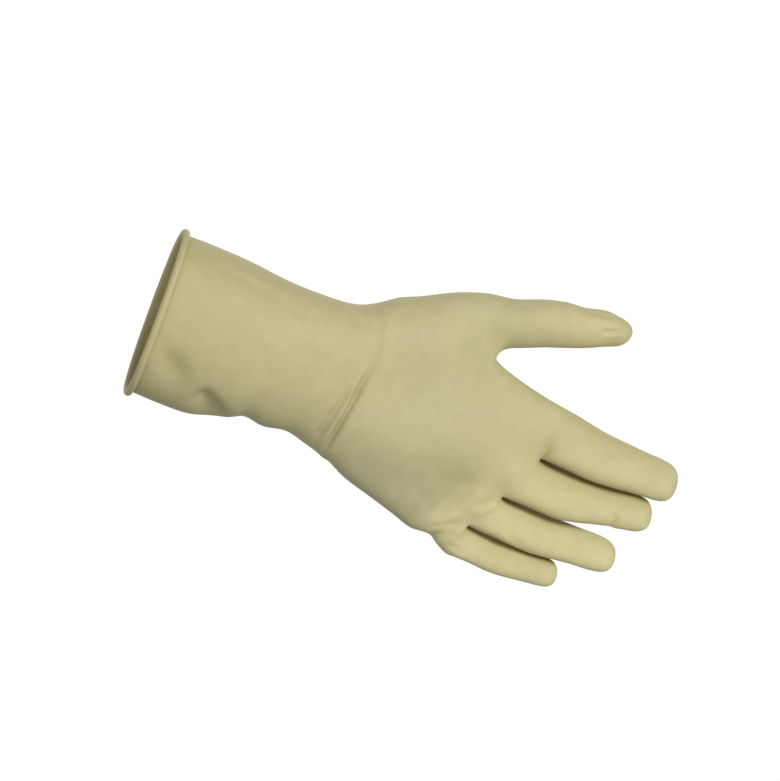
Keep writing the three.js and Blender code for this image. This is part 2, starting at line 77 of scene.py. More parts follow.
# Sections of the gauntlet. at and lean are shares of GAUNTLET_LENGTH: the place on the little
# finger's side, and how much further on the section is at the thumb's side. thumb and little are
# the reach to each side in shares of CUFF_WIDTH, palm and back in shares of CUFF_DEPTH.
GAUNTLET = [
    dict(at=0.019, lean=0, thumb=0.5, little=0.501, palm=0.5, back=0.5),
    dict(at=0.119, lean=0, thumb=0.499, little=0.51, palm=0.5, back=0.5),
    dict(at=0.246, lean=0, thumb=0.491, little=0.515, palm=0.49, back=0.495),
    dict(at=0.365, lean=0, thumb=0.478, little=0.502, palm=0.47, back=0.485),
    dict(at=0.459, lean=0, thumb=0.461, little=0.472, palm=0.45, back=0.47),
    dict(at=0.535, lean=0.009, thumb=0.45, little=0.414, palm=0.43, back=0.455),
    dict(at=0.625, lean=0.012, thumb=0.446, little=0.43, palm=0.41, back=0.435),
    dict(at=0.714, lean=0.034, thumb=0.447, little=0.408, palm=0.385, back=0.41),
    dict(at=0.782, lean=0.085, thumb=0.472, little=0.421, palm=0.365, back=0.39),
    dict(at=0.847, lean=0.133, thumb=0.563, little=0.446, palm=0.345, back=0.37),
    dict(at=0.876, lean=0.135, thumb=0.589, little=0.457, palm=0.335, back=0.36),
    dict(at=0.906, lean=0.133, thumb=0.605, little=0.473, palm=0.325, back=0.35),
    dict(at=0.936, lean=0.132, thumb=0.621, little=0.488, palm=0.315, back=0.34),
    dict(at=0.965, lean=0.133, thumb=0.637, little=0.497, palm=0.305, back=0.33),
]

# Sections of the hand. at and lean are shares of PALM_LENGTH from the wrist fold, thumb and little
# are shares of PALM_WIDTH, palm and back of PALM_DEPTH, slope of WEB_SLOPE. thin is the share of
# the depth that is lost towards the little finger, edge the share that is left at the thumb's side.
HAND = [
    dict(at=0.039, lean=0.175, thumb=0.63, little=0.494, palm=0.56, back=0.62),
    dict(at=0.134, lean=0.191, thumb=0.682, little=0.528, palm=0.52, back=0.56, thin=0.04),
    dict(at=0.264, lean=0.211, thumb=0.609, little=0.568, palm=0.49, back=0.52, thin=0.08, edge=0.88),
    dict(at=0.385, lean=0.213, thumb=0.409, little=0.607, palm=0.47, back=0.5,
         thin=0.14, edge=0.58, slope=0.1),
    dict(at=0.495, lean=0.231, thumb=0.349, little=0.643, palm=0.45, back=0.48,
         thin=0.2, edge=0.78, slope=0.35),
    dict(at=0.596, lean=0.281, thumb=0.306, little=0.641, palm=0.425, back=0.44,
         thin=0.28, edge=0.95, slope=0.7),
    dict(at=0.696, lean=0.341, thumb=0.276, little=0.702, palm=0.42, back=0.41, thin=0.36, slope=1),
]
CUFF_FLAT = 0.35  # how much flatter than round the gauntlet is, 1 being the flat of the hand
WRIST_FLAT = 0.5
FLATTENS_FROM = 5  # the section of the gauntlet from which it gets as flat as the wrist
FLAT_SQUARE = 0.9  # how much squarer than an ellipse a flat section is
EDGE_REACH = 0.35  # how far across the hand edge reaches
WEB_DEPTH = 0.72  # the share of the depth that is left at the crotches
WEB_MIDDLE = 0.35  # where a crotch's middle point lies, from its palm's side to its back

# The hand sections that the thumb grows from, and how deep its root is at each, in shares of
# the depth of the thumb's first section
THUMB_ROOT = [
    dict(row=1, deep=0.82),
    dict(row=2, deep=1.06),
    dict(row=3, deep=0.68),
]

# Fingers. splay is the angle towards the thumb at the root and turn the change at the middle
# joint. knuckle, middle and end are the bends towards the palm at the three joints, in degrees.
# web is how far the crotch beyond each finger lies past the last hand section, in shares of
# PALM_LENGTH. set is how far the finger lies towards the back, in shares of PALM_DEPTH, which it
# reaches within SET_REACH of its length. widths are shares of the finger's width at the six
# sections of SHAFT.
FINGERS = [
    dict(name="index", length=INDEX_LENGTH, splay=-7.2, turn=6.5, knuckle=4, middle=5, end=6,
         set=-0.09, web=0.072, widths=[0.99, 0.955, 0.925, 0.87, 0.78, 0.68]),
    dict(name="middle", length=MIDDLE_LENGTH, splay=-2, turn=8.5, knuckle=5, middle=6, end=6,
         set=-0.03, web=0.046, widths=[1.02, 1.02, 1.03, 0.88, 0.78, 0.69]),
    dict(name="ring", length=RING_LENGTH, splay=-3, turn=4.5, knuckle=5, middle=7, end=7,
         set=0.04, web=0.01, widths=[1.055, 1.09, 1.13, 1.06, 0.97, 0.84]),
    dict(name="little", length=LITTLE_LENGTH, splay=-3.6, turn=5.7, knuckle=5, middle=8, end=7,
         set=0.11, web=0, widths=[1.095, 1.1, 1.13, 1.09, 1, 0.84]),
]
SET_REACH = 0.15
FINGER_LIE = 0.42  # how far a finger's thumb side leans to the back, as a share of its width

# Sections of a finger. at is a share of its length, depth of its own width there, full how much
# squarer than round it is, and hold the share of the root's slant that is left.
SHAFT = [
    dict(at=0.1, depth=0.82, full=1.08, hold=0.75),
    dict(at=0.26, depth=0.82, full=1.05, hold=0.45),
    dict(at=0.42, depth=0.82, full=1.02, hold=0.2),
    dict(at=0.58, depth=0.82, full=1.01, hold=0),
    dict(at=0.75, depth=0.8, full=1.01, hold=0),
    dict(at=0.935, depth=0.78, full=1, hold=0),
]
MIDDLE_JOINT, END_JOINT = 2, 4  # the sections of SHAFT that the joints come after

# Sections of the thumb. at and off are shares of THUMB_LENGTH along and across its axis, width
# and depth of THUMB_WIDTH, and tilt turns the section back towards the mouth, in degrees.
THUMB_RISE = 17  # degrees from +X
THUMB_BEND = 9  # degrees towards the palm
THUMB = [
    dict(at=0.119, off=0.026, width=1.18, depth=0.86, tilt=19),
    dict(at=0.242, off=0.021, width=1, depth=0.86, tilt=8),
    dict(at=0.4, off=0.03, width=0.98, depth=0.84, tilt=4),
    dict(at=0.553, off=0.028, width=0.93, depth=0.8, tilt=-3),
    dict(at=0.698, off=0.018, width=0.82, depth=0.72, tilt=-2),
    dict(at=0.835, off=0.022, width=0.74, depth=0.64, tilt=-2),
    dict(at=0.94, off=0.003, width=0.53, depth=0.48, tilt=-8),
]

# In all tables of folds, dents and creases a place is given as shares of GAUNTLET_LENGTH (at) and
# CUFF_WIDTH (side), and face is -1 on the palm's side, 1 on the back, 0 on both.

# Straight folds of the palm's side. depth and width are shares of WALL, and lip is the share of
# the depth that the sheet stands up beside the fold.
FOLDS = [
    dict(name="little finger crease", at=[1.5, 1.6], side=[-0.72, -0.57], depth=1.3, width=2, lip=0.3),
]

# Dents, and mounds where depth is negative. long is a share of GAUNTLET_LENGTH, wide of
# CUFF_WIDTH, depth of WALL, and turn is in degrees.
DENTS = [
    dict(name="palm", at=1.34, side=-0.14, long=0.22, wide=0.2, turn=10, depth=-1.4, face=-1),
    dict(name="below the pads", at=1.49, side=-0.37, long=0.12, wide=0.13, turn=-35, depth=3.4, face=-1),
    dict(name="hand edge", at=1.38, side=-0.46, long=0.26, wide=0.15, turn=-20, depth=2.2, face=-1),
    dict(name="ball of the thumb", at=1.2, side=0.42, long=0.2, wide=0.2, turn=20, depth=-4.5, face=-1),
    dict(name="heel", at=1.16, side=-0.3, long=0.24, wide=0.16, turn=-12, depth=-3, face=-1),
    dict(name="index pad", at=1.72, side=0.12, long=0.14, wide=0.12, turn=0, depth=-0.9, face=-1),
    dict(name="middle pad", at=1.68, side=-0.18, long=0.14, wide=0.12, turn=0, depth=-0.9, face=-1),
    dict(name="ring pad", at=1.6, side=-0.42, long=0.13, wide=0.11, turn=0, depth=-0.8, face=-1),
    dict(name="little pad", at=1.52, side=-0.62, long=0.1, wide=0.08, turn=0, depth=-0.7, face=-1),
    dict(name="by the mouth", at=0.15, side=-0.28, long=0.09, wide=0.08, turn=-40, depth=3, face=-1),
    dict(name="at the notch", at=0.42, side=-0.44, long=0.12, wide=0.08, turn=-40, depth=1.6, face=-1),
    dict(name="slack on top", at=0.3, side=0.38, long=0.3, wide=0.06, turn=-10, depth=1, face=-1),
    dict(name="thumb's tip", at=1.955, side=0.935, long=0.06, wide=0.05, turn=-30, depth=1.3, face=0),
    dict(name="knuckles", at=1.5, side=-0.1, long=0.2, wide=0.4, turn=-15, depth=1, face=1),
]

# Smaller creases of the worn sheet. path runs through three places, each (at, side). width, depth
# and the heights of the lips beside the groove, right and left of the path as it runs, are shares
# of WALL. gentle is how many times wider the groove is on its right.
CREASES = [
    dict(name="sharp dent in the gauntlet", path=[(0.28, -0.35), (0.37, -0.43), (0.48, -0.53)],
         width=4.2, gentle=1.5, depth=5.4, right=0, left=0.2, face=-1),
    dict(name="slack along the top", path=[(0.08, 0.466), (0.27, 0.448), (0.52, 0.405)],
         width=1.7, depth=0.8, right=0.35, left=0.1, face=-1),
    dict(name="second slack line", path=[(0.2, 0.37), (0.3, 0.375), (0.42, 0.35)],
         width=2, depth=0.2, right=0.15, left=0, face=-1),
    dict(name="soft pull across the gauntlet", path=[(0.44, 0.05), (0.5, -0.05), (0.56, -0.17)],
         width=4.5, depth=0.7, right=0.2, left=0.2, face=-1),
    dict(name="notch at the little finger's side", path=[(0.5, -0.36), (0.56, -0.43), (0.6, -0.46)],
         width=3.5, depth=0.5, right=0, left=0.3, face=-1),
    dict(name="pucker below the wrist", path=[(0.72, -0.36), (0.8, -0.4), (0.87, -0.4)],
         width=2.6, depth=0.3, right=0.2, left=0, face=-1),
    dict(name="main wrist fold", path=[(0.903, -0.49), (0.937, -0.19), (0.983, 0.24)],
         width=1.7, depth=2.7, right=0.1, left=0.4, face=-1),
    dict(name="lesser wrist fold", path=[(0.842, -0.46), (0.882, -0.23), (0.925, 0.02)],
         width=2.1, depth=2.1, right=0.2, left=0.1, face=-1),
    dict(name="faint end of the wrist fold", path=[(0.965, 0.1), (0.965, 0.27), (0.92, 0.45)],
         width=1.8, depth=0.45, right=0.2, left=0, face=-1),
    dict(name="line in the palm", path=[(1.35, -0.46), (1.42, -0.53), (1.49, -0.6)],
         width=2, depth=0.45, right=0.25, left=0, face=-1),
    dict(name="edge of the finger pads", path=[(1.45, -0.63), (1.53, -0.44), (1.62, -0.2)],
         width=4, depth=1.4, right=0.5, left=0, face=-1),
    dict(name="fold under the little finger", path=[(1.47, -0.7), (1.53, -0.625), (1.63, -0.57)],
         width=2, depth=1.4, right=1.1, left=0.3, face=-1),
    dict(name="pucker at the little finger", path=[(1.49, -0.715), (1.545, -0.672), (1.6, -0.625)],
         width=1.5, depth=1.8, right=0.2, left=0.6, face=-1),
    dict(name="fold at the ring finger", path=[(1.6, -0.47), (1.665, -0.42), (1.72, -0.35)],
         width=1.9, depth=1, right=0.8, left=0, face=-1),
    dict(name="pull on the little finger", path=[(1.56, -0.72), (1.62, -0.73), (1.7, -0.745)],
         width=1.4, depth=0.35, right=0.2, left=0, face=-1),
    dict(name="pull on the ring finger", path=[(1.78, -0.5), (1.85, -0.56), (1.93, -0.58)],
         width=1.8, depth=0.35, right=0.2, left=0, face=-1),
    dict(name="dimple by the middle fingertip", path=[(2.2, -0.19), (2.225, -0.24), (2.21, -0.3)],
         width=1.9, depth=1.4, right=0, left=0.5, face=-1),
    dict(name="edge of the thumb's nail", path=[(1.74, 0.885), (1.85, 0.922), (1.94, 0.925)],
         width=2.4, depth=1.8, right=0, left=0, face=-1),
    dict(name="wrinkle at the thumb's tip", path=[(1.88, 0.8), (1.945, 0.845), (2.0, 0.893)],
         width=1.2, depth=1.5, right=0.6, left=0.2, face=-1),
    dict(name="knuckle line on the back", path=[(1.6, -0.5), (1.68, -0.1), (1.68, 0.22)],
         width=4, depth=0.5, right=0.2, left=0.2, face=1),
    dict(name="wrist fold on the back", path=[(0.93, -0.33), (0.9, 0), (0.94, 0.35)],
         width=2.2, depth=0.7, right=0.5, left=0.3, face=1),
    dict(name="slack on the back", path=[(0.25, 0.3), (0.4, 0.1), (0.48, -0.15)],
         width=4, depth=0.9, right=0.3, left=0.3, face=1),
]

# The unevenness of the sheet: a broad wave with a finer one on it
WAVE_HEIGHT = 0.16
WAVE_LENGTH = 17
FINER_WAVE = 2.6  # how many times shorter the finer one is
FINER_SHARE = 0.4  # its share of the height

# How finely the shapes are divided
RING_POINTS = 20
HALF_RING = RING_POINTS // 2
FINGER_POINTS = 8
FIT_PASSES = 3
LEVELS = 3
COURSE_POINTS = 25
BEAD_STEPS = 14


def mix(a, b, share):
    return a + (b - a) * share


def unit(vector):
    vector = np.asarray(vector, float)
    return vector / (np.linalg.norm(vector) or 1)


def easing(share):
    held = np.clip(share, 0, 1)
    return held * held * (3 - 2 * held)


# The cage that the surface is drawn over

def column_shares(flat):
    """Where a ring's columns lie across the hand, as shares from the thumb's side.

    Round sections space them by angle; flat ones give each finger its own width.
    """
    starts = [0, *np.cumsum([(width + FINGER_GAP) / PALM_WIDTH for width in FINGER_WIDTHS])]
    corner = (1 - math.cos(math.pi / 4)) / 2
    shares = [0]
    for finger in range(len(FINGER_WIDTHS)):
        shares.append(starts[finger] if finger else mix(0, starts[1], corner))
        shares.append(mix(starts[finger], starts[finger + 1], 0.5))
    shares += [mix(1, starts[-2], corner), 1]
    by_angle = [(1 - math.cos(math.pi * column / HALF_RING)) / 2 for column in range(HALF_RING + 1)]
    return [mix(even, share, flat) for even, share in zip(by_angle, shares)]


def body_ring(row, start, length, width, depth, flat):
    """A ring from the thumb's side over the palm to the little finger's side and back."""
    shares = column_shares(flat)
    power = 2 + flat * FLAT_SQUARE
    points = []
    for index in range(RING_POINTS):
        palm_side = index <= HALF_RING
        across = shares[index if palm_side else RING_POINTS - index]
        height = max(0, 1 - abs(2 * across - 1) ** power) ** (1 / power)
        held = mix(row.get("edge", 1), 1, min(1, across / EDGE_REACH))
        thinned = (1 - row.get("thin", 0) * across) * held
        back = 0 if palm_side else row.get("slope", 0) * WEB_SLOPE * height
        points.append([
            start + (row["at"] + row["lean"] * (1 - across)) * length - back,
            (-row["palm"] if palm_side else row["back"]) * depth * height * thinned,
            mix(row["thumb"], -row["little"], across) * width,
        ])
    return points


def body_rings():
    rings = []
    for index, row in enumerate(GAUNTLET):
        share = max(0, (index - FLATTENS_FROM) / (len(GAUNTLET) - FLATTENS_FROM))
        flat = mix(CUFF_FLAT, WRIST_FLAT, share)
        rings.append(body_ring(row, 0, GAUNTLET_LENGTH, CUFF_WIDTH, CUFF_DEPTH, flat))
    for index, row in enumerate(HAND):
        flat = mix(WRIST_FLAT, 1, (index + 1) / len(HAND))
        rings.append(body_ring(row, GAUNTLET_LENGTH, PALM_LENGTH, PALM_WIDTH, PALM_DEPTH, flat))
    return rings


def heading(rise, bend):
    """The way that a digit points: rise is towards the thumb's side, bend towards the palm."""
    ahead = math.cos(bend)
    return unit([ahead * math.cos(rise), -math.sin(bend), ahead * math.sin(rise)])


def digit_ring(centre, sideways, backwards, width, depth, shear, full):
    """The points around a digit's section, from its thumb side over the palm's side."""
    points = []
    for index in range(FINGER_POINTS):
        angle = 2 * math.pi * index / FINGER_POINTS
        reach = full / 2 if index % 2 else 1 / 2
        point = centre + sideways * math.cos(angle) * width * reach
        point = point - backwards * math.sin(angle) * depth * reach
        points.append(point + np.array(shear) * math.cos(angle) * width / 2)
    return points


def finger_rings(finger, width, root, slant):
    rings = []
    centre = np.array(root)
    last = 0
    for index, section in enumerate(SHAFT + [dict(at=1)]):
        past_middle, past_end = index > MIDDLE_JOINT, index > END_JOINT
        bend = finger["knuckle"] + past_middle * finger["middle"] + past_end * finger["end"]
        splay = finger["splay"] + past_middle * finger["turn"]
        forward = heading(math.radians(splay), math.radians(bend))
        centre = centre + forward * (section["at"] - last) * finger["length"]
        last = section["at"]
        reached = easing(section["at"] / SET_REACH)
        middle = centre + np.array([0, finger["set"] * PALM_DEPTH * reached, 0])
        if last == 1:
            rings.append([middle])
            break
        backwards = unit(np.cross([0, 0, 1], forward))
        sideways = unit(np.cross(forward, backwards))
        across = width * finger["widths"][index]
        shear = [slant * section["hold"], FINGER_LIE * reached, 0]
        rings.append(digit_ring(middle, sideways, backwards, across, across * section["depth"],
                                shear, section["full"]))
    return rings


def thumb_rings(root):
    rise, bend = math.radians(THUMB_RISE), math.radians(THUMB_BEND)
    axis = heading(rise, bend)
    across = np.array([-math.sin(rise), 0, math.cos(rise)])
    rings = []
    for section in THUMB:
        centre = root + (axis * section["at"] + across * section["off"]) * THUMB_LENGTH
        tilt = rise + math.radians(section["tilt"])
        sideways = np.array([-math.sin(tilt), 0, math.cos(tilt)])
        backwards = unit(np.cross(sideways, heading(tilt, bend)))
        rings.append(digit_ring(centre, sideways, backwards, section["width"] * THUMB_WIDTH,
                                section["depth"] * THUMB_WIDTH, [0, 0, 0], 1))
    rings.append([root + axis * THUMB_LENGTH])
    return rings


class Cage:
    """Points that the surface has to pass, and the four-sided cells between them."""

    def __init__(self):
        self.points = []
        self.cells = []

    def place(self, point):
        self.points.append(np.array(point, float))
        return len(self.points) - 1

    def join(self, near, far, index):
        following = (index + 1) % len(near)
        self.cells.append([near[index], near[following], far[following], far[index]])

    def grow_digit(self, loop, sections):
        """A finger or the thumb, from the loop of points at its root to its tip."""
        ring = loop
        for section in sections[:-1]:
            ahead = [self.place(point) for point in section]
            for index in range(FINGER_POINTS):
                self.join(ring, ahead, index)
            ring = ahead
        tip = self.place(sections[-1][0])
        for index in range(0, FINGER_POINTS, 2):
            self.cells.append([ring[index], ring[index + 1], ring[(index + 2) % FINGER_POINTS], tip])


def add_body(cage):
    """The rings from the mouth to the fingers' roots, with a hole where the thumb grows."""
    rings = [[cage.place(point) for point in ring] for ring in body_rings()]
    thumb_from, thumb_to = (len(GAUNTLET) + THUMB_ROOT[end]["row"] for end in (0, -1))
    for row, (near, far) in enumerate(zip(rings, rings[1:])):
        for column in range(RING_POINTS):
            if not (thumb_from <= row < thumb_to and column in (0, RING_POINTS - 1)):
                cage.join(near, far, column)
    return rings


def add_webs(cage, root):
    """Crotches between the fingers, each with a point on the palm, one on the back and one between."""
    webs = []
    for index, finger in enumerate(FINGERS[:-1]):
        palm, back = root[3 + 2 * index], root[RING_POINTS - 3 - 2 * index]
        for at in (palm, back):
            cage.points[at][0] += finger["web"] * PALM_LENGTH
            cage.points[at][1] *= WEB_DEPTH
        between = mix(cage.points[palm][0], cage.points[back][0], WEB_MIDDLE)
        webs.append(cage.place([between, 0, cage.points[palm][2]]))
    return webs


def add_fingers(cage, root):
    sides = [root[0], *add_webs(cage, root), root[HALF_RING]]
    for index, finger in enumerate(FINGERS):
        first = 2 * index + 1
        palm_edge = [root[first + step] for step in range(3)]
        back_edge = [root[RING_POINTS - first - step] for step in (2, 1, 0)]
        loop = [sides[index], *palm_edge, sides[index + 1], *back_edge]
        a, b = cage.points[sides[index]], cage.points[sides[index + 1]]
        middle_y = sum(cage.points[at][1] for at in loop) / len(loop)
        centre = [mix(a[0], b[0], 0.5), middle_y, mix(a[2], b[2], 0.5)]
        slant = (a[0] - b[0]) / (a[2] - b[2])
        cage.grow_digit(loop, finger_rings(finger, FINGER_WIDTHS[index], centre, slant))


def add_thumb(cage, rings):
    roots = [rings[len(GAUNTLET) + part["row"]] for part in THUMB_ROOT]
    side = RING_POINTS - 1
    for ring, part in zip(roots, THUMB_ROOT):
        reach = part["deep"] * THUMB[0]["depth"] * THUMB_WIDTH / 2
        cage.points[ring[1]][1] = -reach
        cage.points[ring[side]][1] = reach
    back, middle, front = roots
    loop = [back[0], back[1], middle[1], front[1], front[0], front[side], middle[side], back[side]]
    cage.grow_digit(loop, thumb_rings((cage.points[back[0]] + cage.points[front[0]]) / 2))


def build_cage():
    cage = Cage()
    rings = add_body(cage)
    add_fingers(cage, rings[-1])
    add_thumb(cage, rings)
    used = sorted({at for cell in cage.cells for at in cell})
    renumbered = {at: index for index, at in enumerate(used)}
    points = np.array([cage.points[at] for at in used])
    return points, [[renumbered[at] for at in cell] for cell in cage.cells]


def neighbours(count, cells):
    """Each point's neighbours along the edges, across the cells, and along an open edge."""
    beside = [set() for _ in range(count)]
    across = [[] for _ in range(count)]
    uses = {}
    for cell in cells:
        for index, at in enumerate(cell):
            following = cell[(index + 1) % 4]
            edge = frozenset((at, following))
            uses[edge] = uses.get(edge, 0) + 1
            beside[at].add(following)
            beside[following].add(at)
            across[at].append(cell[(index + 2) % 4])
    open_sides = [set() for _ in range(count)]
    for edge, times in uses.items():
        if times == 1:
            a, b = edge
            open_sides[a].add(b)
            open_sides[b].add(a)
    return beside, across, open_sides


def on_surface(points, beside, across, open_sides):
    """Where each of the cage's points ends up on the Catmull-Clark surface."""
    reached = np.empty_like(points)
    for at, point in enumerate(points):
        if open_sides[at]:
            reached[at] = (4 * point + sum(points[k] for k in open_sides[at])) / 6
            continue
        count = len(beside[at])
        total = count * count * point + 4 * sum(points[k] for k in beside[at])
        reached[at] = (total + sum(points[k] for k in across[at])) / (count * (count + 5))
    return reached


def fit_cage(targets, cells):
    """Moves the cage so that the smooth surface passes through the targets."""
    around = neighbours(len(targets), cells)
    points = targets
    for _ in range(FIT_PASSES):
        points = points + targets - on_surface(points, *around)
    return points


def smooth_surface():
    """The limit surface over the cage, as dense points and four-sided faces."""
    targets, cells = build_cage()
    mesh = bpy.data.meshes.new("cage")
    mesh.from_pydata(fit_cage(targets, cells).tolist(), [], cells)
    cage = bpy.data.objects.new("cage", mesh)
    bpy.context.scene.collection.objects.link(cage)
    subdivision = cage.modifiers.new("smooth", "SUBSURF")
    subdivision.levels = LEVELS
    subdivision.quality = 4
    subdivision.use_limit_surface = True
    subdivision.boundary_smooth = "ALL"
    evaluated = cage.evaluated_get(bpy.context.evaluated_depsgraph_get())
    dense = evaluated.to_mesh()
    surface = np.empty(len(dense.vertices) * 3)
    dense.vertices.foreach_get("co", surface)
    faces = np.empty(len(dense.polygons) * 4, dtype=np.int64)
    dense.polygons.foreach_get("vertices", faces)
    evaluated.to_mesh_clear()
    bpy.data.objects.remove(cage)
    bpy.data.meshes.remove(mesh)
    return surface.reshape(-1, 3), faces.reshape(-1, 4)


def normals_of(points, faces):
    a, b, c, d = (points[faces[:, k]] for k in range(4))
    normal = np.cross(c - a, d - b)
    sums = np.zeros_like(points)
    for k in range(4):
        np.add.at(sums, faces[:, k], normal)
    return sums / np.maximum(np.linalg.norm(sums, axis=1, keepdims=True), 1e-12)


# Folds, dents and creases, as heights along the normals

TURN_AWAY = 1.4  # how fast they end where the sheet turns away from their side
FOLD_START, FOLD_END = 0.15, 0.35  # shares of a fold's length over which it begins and ends
FOLD_LIP_AT = 1.9  # in widths of the fold, from its middle
CREASE_LIP_AT, CREASE_LIP_WIDTH = 1.7, 0.9  # in widths of the crease
CREASE_REACH = 5  # widths beyond which a crease has no height left
CREASE_ENDS = 0.3  # share of a crease's length over which each end fades


def facing(normals, face):
    """1 where the sheet faces the palm's side or the back, fading to 0 where it turns away."""
    return easing(0.5 + normals[:, 1] * face * TURN_AWAY) if face else np.ones(len(normals))


def fold_height(fold, points, normals):
    start, end = np.stack([fold["at"], fold["side"]], axis=1) * [GAUNTLET_LENGTH, CUFF_WIDTH]
    length = np.linalg.norm(end - start)
    along = (end - start) / length
    away = points[:, [0, 2]] - start
    share = away @ along / length
    aside = (away[:, 0] * along[1] - away[:, 1] * along[0]) / (fold["width"] * WALL)
    ends = easing(share / FOLD_START + 0.5) * easing((1 - share) / FOLD_END + 0.2)
    groove = np.exp(-aside ** 2)
    lips = np.exp(-(np.abs(aside) - FOLD_LIP_AT) ** 2)
    return fold["depth"] * WALL * (fold["lip"] * lips - groove) * ends * facing(normals, -1)


def dent_height(dent, points, normals):
    turn = math.radians(dent["turn"])
    x = points[:, 0] - dent["at"] * GAUNTLET_LENGTH
    z = points[:, 2] - dent["side"] * CUFF_WIDTH
    along = (x * math.cos(turn) + z * math.sin(turn)) / (dent["long"] * GAUNTLET_LENGTH)
    across = (z * math.cos(turn) - x * math.sin(turn)) / (dent["wide"] * CUFF_WIDTH)
    return -dent["depth"] * WALL * np.exp(-(along ** 2 + across ** 2)) * facing(normals, dent["face"])


def course_through(path):
    """A smooth line through three places, in millimetres."""
    first, middle, last = np.array(path) * [GAUNTLET_LENGTH, CUFF_WIDTH]
    share = np.linspace(0, 1, COURSE_POINTS)[:, None]
    held = 4 * middle - first - last
    return first * (1 - share) ** 2 + held * share * (1 - share) + last * share ** 2


def beside_course(places, course):
    """How far each place is from the course, whether on its right, and how far along it."""
    steps = np.diff(course, axis=0)
    away = places[:, None, :] - course[None, :-1, :]
    part = np.clip((away * steps).sum(2) / (steps ** 2).sum(1), 0, 1)
    gap = away - part[..., None] * steps
    distance = np.linalg.norm(gap, axis=2)
    closest = distance.argmin(1)
    rows = np.arange(len(places))
    step, gap = steps[closest], gap[rows, closest]
    on_right = step[:, 1] * gap[:, 0] - step[:, 0] * gap[:, 1] > 0
    return distance[rows, closest], on_right, (closest + part[rows, closest]) / len(steps)


def crease_height(crease, points, normals):
    course = course_through(crease["path"])
    places = points[:, [0, 2]]
    gentle = crease.get("gentle", 1)
    width = crease["width"] * WALL
    reach = width * gentle * CREASE_REACH
    inside = (places > course.min(0) - reach) & (places < course.max(0) + reach)
    near = np.where(np.all(inside, axis=1))[0]
    height = np.zeros(len(points))
    distance, on_right, along = beside_course(places[near], course)
    ends = easing(along / CREASE_ENDS) * easing((1 - along) / CREASE_ENDS)
    lip = np.exp(-((distance / width - CREASE_LIP_AT) / CREASE_LIP_WIDTH) ** 2)
    lips = np.where(on_right, crease["right"], crease["left"]) * lip
    groove = np.exp(-(distance / width / np.where(on_right, gentle, 1)) ** 2)
    profile = (lips - crease["depth"] * groove) * WALL
    height[near] = profile * ends * facing(normals[near], crease["face"])
    return height


def wave_height(points):
    places = [Vector(point) for point in points]
    broad = np.array([noise.noise(place / WAVE_LENGTH) for place in places])
    finer = np.array([noise.noise(place * FINER_WAVE / WAVE_LENGTH) for place in places])
    return (broad + FINER_SHARE * finer) * WAVE_HEIGHT


def outer_surface():
    points, faces = smooth_surface()
    normals = normals_of(points, faces)
    height = wave_height(points)
    for table, height_of in ((FOLDS, fold_height), (DENTS, dent_height), (CREASES, crease_height)):
        height += sum(height_of(row, points, normals) for row in table)
    return points + normals * height[:, None], faces


# The sheet with its rolled edge

def mouth_loop(faces):
    """The points along the surface's open edge."""
    edges = dict.fromkeys(zip(faces.ravel().tolist(), np.roll(faces, -1, axis=1).ravel().tolist()))
    ahead = {a: b for a, b in edges if (b, a) not in edges}
    loop = [next(iter(ahead))]
    while ahead[loop[-1]] != loop[0]:
        loop.append(ahead[loop[-1]])
    return np.array(loop)


def rolled_sheet():
    """Both faces of the sheet, and the bead: its edge turned outwards by BEAD_TURN."""
    surface, faces = outer_surface()
    normals = normals_of(surface, faces)
    count = len(surface)
    parts = [surface, surface - normals * WALL]
    cells = [faces, faces[:, ::-1] + count]
    loop = mouth_loop(faces)
    outwards = normals[loop] * np.array([0, 1, 1])
    outwards /= np.linalg.norm(outwards, axis=1, keepdims=True)
    radius = (BEAD_WIDTH - WALL) / 2
    centres = surface[loop] + outwards * (radius - WALL / 2)
    outer, inner = loop, loop + count
    total = 2 * count
    for step in range(1, BEAD_STEPS + 1):
        angle = math.radians(BEAD_TURN * step / BEAD_STEPS)
        turned = np.array([-math.sin(angle), 0, 0]) - outwards * math.cos(angle)
        rings = []
        for distance in (radius - WALL / 2, radius + WALL / 2):
            parts.append(centres + turned * distance)
            rings.append(np.arange(len(loop)) + total)
            total += len(loop)
        for here, there, way in ((outer, rings[0], 1), (inner, rings[1], -1)):
            band = np.stack([here, np.roll(here, -1), np.roll(there, -1), there], axis=1)
            cells.append(band[:, ::-1] if way > 0 else band)
        outer, inner = rings
    cells.append(np.stack([np.roll(outer, -1), outer, inner, np.roll(inner, -1)], axis=1))
    return np.concatenate(parts), np.concatenate(cells)


def glove():
    points, faces = rolled_sheet()
    mesh = bpy.data.meshes.new("glove")
    mesh.from_pydata((points / 1000).tolist(), [], faces.tolist())
    mesh.polygons.foreach_set("use_smooth", [True] * len(faces))
    mesh.materials.append(latex())
    piece = bpy.data.objects.new("glove_sheet", mesh)
    bpy.context.scene.collection.objects.link(piece)
    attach(piece, "root")
    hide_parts("dipped_glove")


# Nodes

MIX_SHARE, MIX_FIRST, MIX_SECOND, MIX_RESULT = 0, 6, 7, 2  # a mix node's sockets for colours


def wired(tree, node, inputs):
    """The node, with each input linked to another node's output or set to a constant."""
    for socket, value in inputs.items():
        if isinstance(value, bpy.types.NodeSocket):
            tree.links.new(value, node.inputs[socket])
        else:
            node.inputs[socket].default_value = value
    return node


def grain(tree, place, scale, detail):
    """Noise whose scale is in waves to the metre."""
    texture = tree.nodes.new("ShaderNodeTexNoise")
    return wired(tree, texture, {"Vector": place, "Scale": scale, "Detail": detail}).outputs["Fac"]


